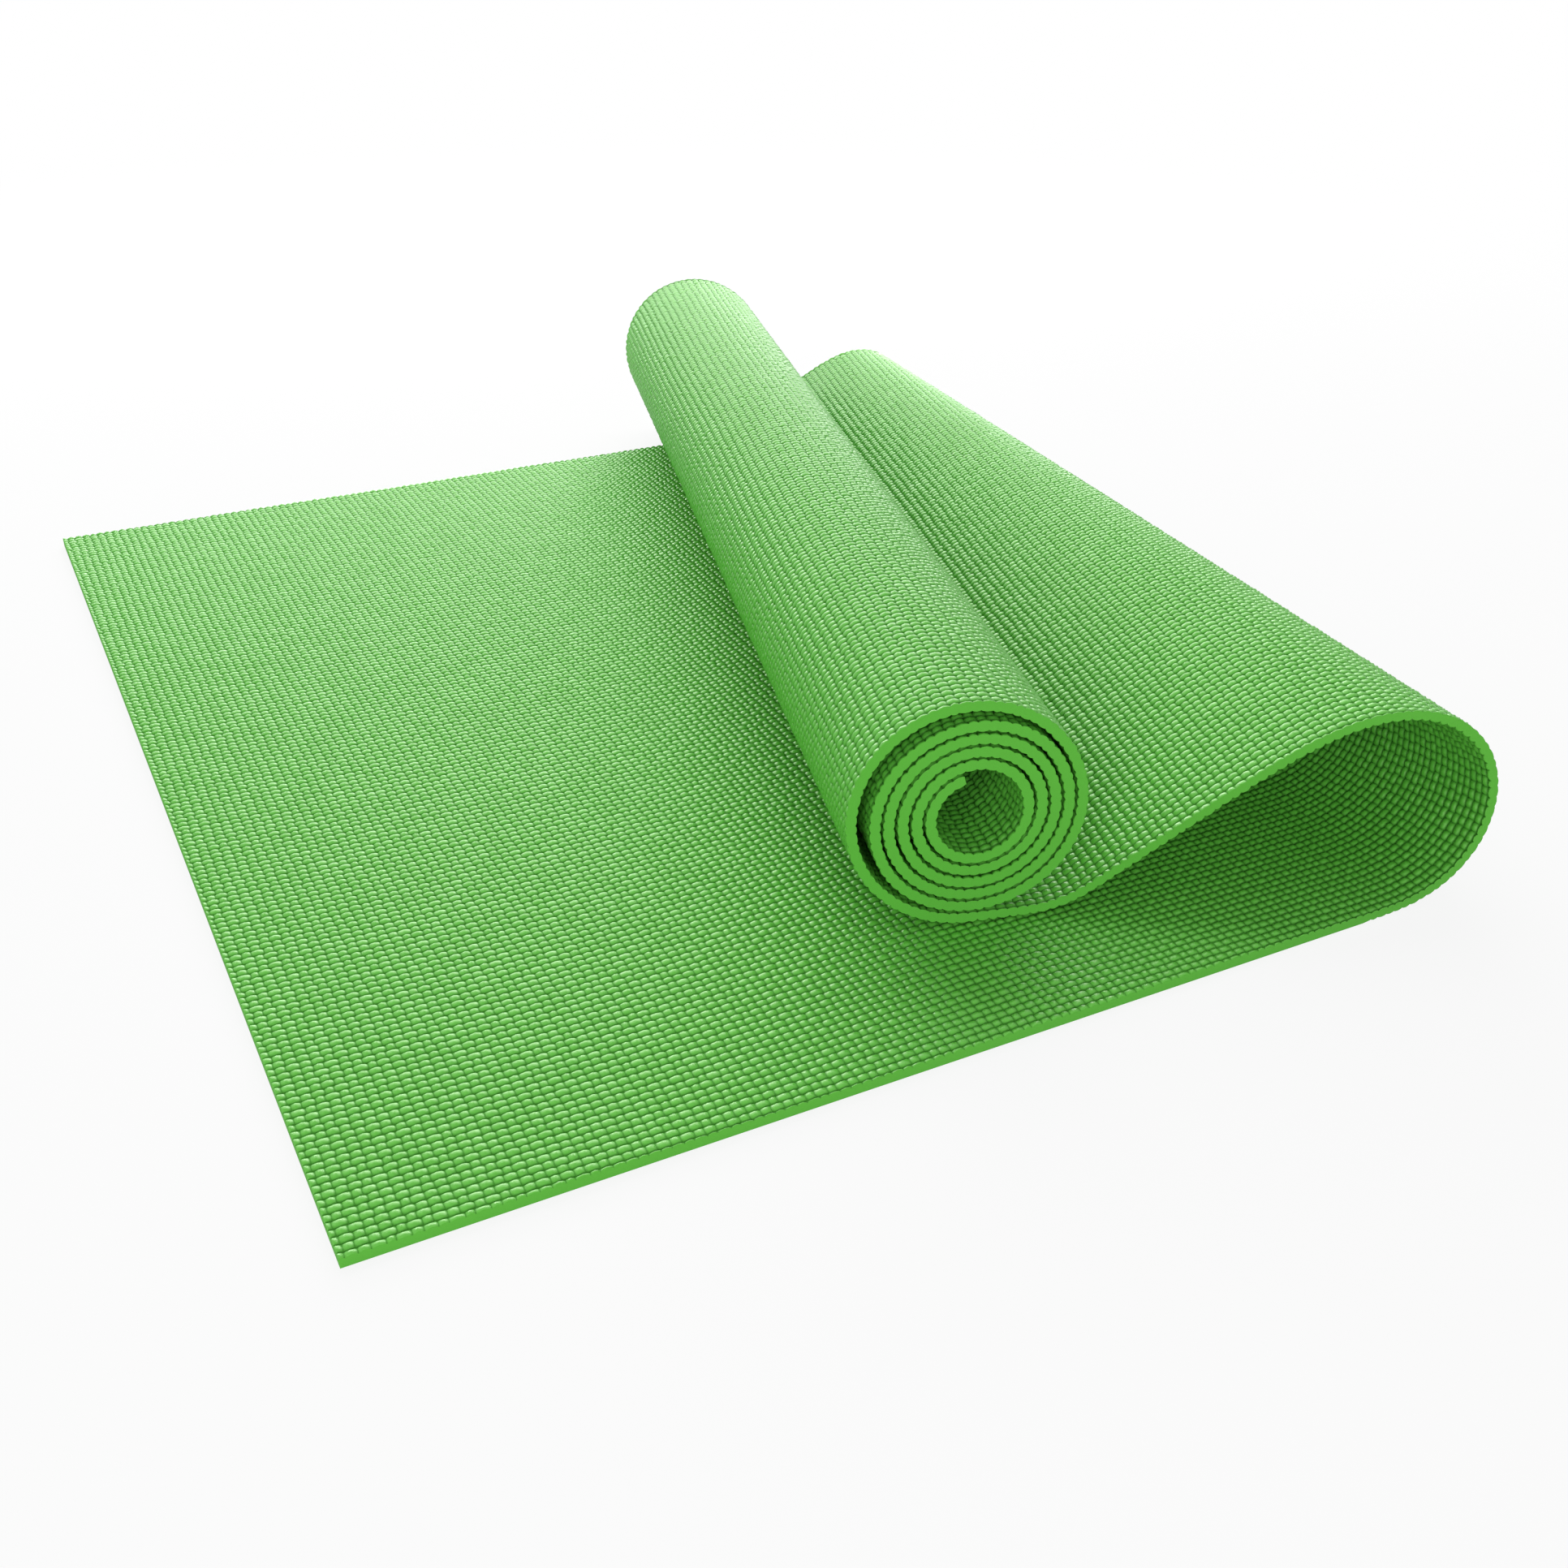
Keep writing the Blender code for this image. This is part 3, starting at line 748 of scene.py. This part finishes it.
# Each light's name, place, size and power
LIGHTS = (
    ("back_light", (0.1, 1.95, 0.75), (2.4, 0.8), 52.0),
    ("top_light", (0.1, 0.9, 1.4), (2.2, 1.0), 20.0),
    ("front_light", (-0.3, -1.65, 0.5), (1.8, 1.0), 19.5),
    ("left_light", (-1.7, 0.3, 1.2), (1.5, 1.2), 4.0),
)
LIGHT_AIM = (0.0, 0.0, 0.03)


def add_camera():
    """The camera at the photograph's viewing angle."""
    data = bpy.data.cameras.new("camera")
    data.sensor_width = SENSOR_WIDTH
    data.lens = FOCAL_PIXELS * SENSOR_WIDTH / PHOTO_PIXELS
    camera = bpy.data.objects.new("camera", data)
    bpy.context.scene.collection.objects.link(camera)
    camera.matrix_world = (Matrix.Translation(CAMERA_PLACE) @ Matrix.Rotation(CAMERA_YAW, 4, "Z")
                           @ Matrix.Rotation(math.pi / 2 - CAMERA_PITCH, 4, "X")
                           @ Matrix.Rotation(CAMERA_ROLL, 4, "Z"))
    bpy.context.scene.camera = camera


def add_light(name, place, size, power):
    """A soft rectangular light turned towards the mat."""
    data = bpy.data.lights.new(name, "AREA")
    data.shape = "RECTANGLE"
    data.size, data.size_y = size
    data.energy = power
    light = bpy.data.objects.new(name, data)
    bpy.context.scene.collection.objects.link(light)
    aim = Vector(LIGHT_AIM) - Vector(place)
    turn = aim.to_track_quat("-Z", "Y").to_matrix().to_4x4()
    light.matrix_world = Matrix.Translation(place) @ turn


def seen_directly(tree):
    """1 where a ray comes from the camera, a mirror-like surface or a clear one, 0 otherwise."""
    path = tree.nodes.new("ShaderNodeLightPath")
    total = path.outputs["Is Camera Ray"]
    for name in ("Is Glossy Ray", "Is Transmission Ray"):
        adding = tree.nodes.new("ShaderNodeMath")
        adding.operation = "MAXIMUM"
        tree.links.new(total, adding.inputs[0])
        tree.links.new(path.outputs[name], adding.inputs[1])
        total = adding.outputs["Value"]
    return total


def floor_material():
    """Pale to the light, and nearly all white to the camera."""
    surface = bpy.data.materials.new("studio_floor")
    surface.use_nodes = True
    tree = surface.node_tree
    tree.nodes.remove(tree.nodes["Principled BSDF"])
    position = tree.nodes.new("ShaderNodeNewGeometry")
    distance = tree.nodes.new("ShaderNodeVectorMath")
    distance.operation = "LENGTH"
    tree.links.new(position.outputs["Position"], distance.inputs[0])
    glow_share = smooth_steps(tree, distance.outputs["Value"], From_Min=SHADOW_REACH,
                              From_Max=SHADOW_END, To_Min=FLOOR_GLOW_SHARE)
    seen_share = tree.nodes.new("ShaderNodeMath")
    seen_share.operation = "MULTIPLY"
    tree.links.new(seen_directly(tree), seen_share.inputs[0])
    tree.links.new(glow_share, seen_share.inputs[1])
    diffuse = add_node(tree, "ShaderNodeBsdfDiffuse", Color=(*FLOOR_COLOUR, 1.0))
    glow = add_node(tree, "ShaderNodeEmission", Strength=1.0)
    mix = add_node(tree, "ShaderNodeMixShader", Fac=seen_share.outputs["Value"])
    tree.links.new(diffuse.outputs["BSDF"], mix.inputs[1])
    tree.links.new(glow.outputs["Emission"], mix.inputs[2])
    tree.links.new(mix.outputs["Shader"], tree.nodes["Material Output"].inputs["Surface"])
    return surface


def add_floor():
    """A white floor that keeps the mat's shadow."""
    bpy.ops.mesh.primitive_plane_add(size=FLOOR_SIZE, location=(0.0, 0.0, -FLOOR_DROP))
    floor = bpy.context.object
    floor.name = "studio_floor"
    floor.data.materials.append(floor_material())


def light_world():
    """An even pale surround, seen as white."""
    world = bpy.data.worlds.new("studio")
    bpy.context.scene.world = world
    world.use_nodes = True
    tree = world.node_tree
    background = tree.nodes["Background"]
    background.inputs["Color"].default_value = (1.0, 1.0, 1.0, 1.0)
    strength = mixed(tree, "FLOAT", seen_directly(tree), WORLD_LEVEL, 1.0)
    tree.links.new(strength, background.inputs["Strength"])
    bpy.context.scene.view_settings.view_transform = "Standard"


dress_all(foam_material())
add_camera()
add_floor()
light_world()
for light in LIGHTS:
    add_light(*light)
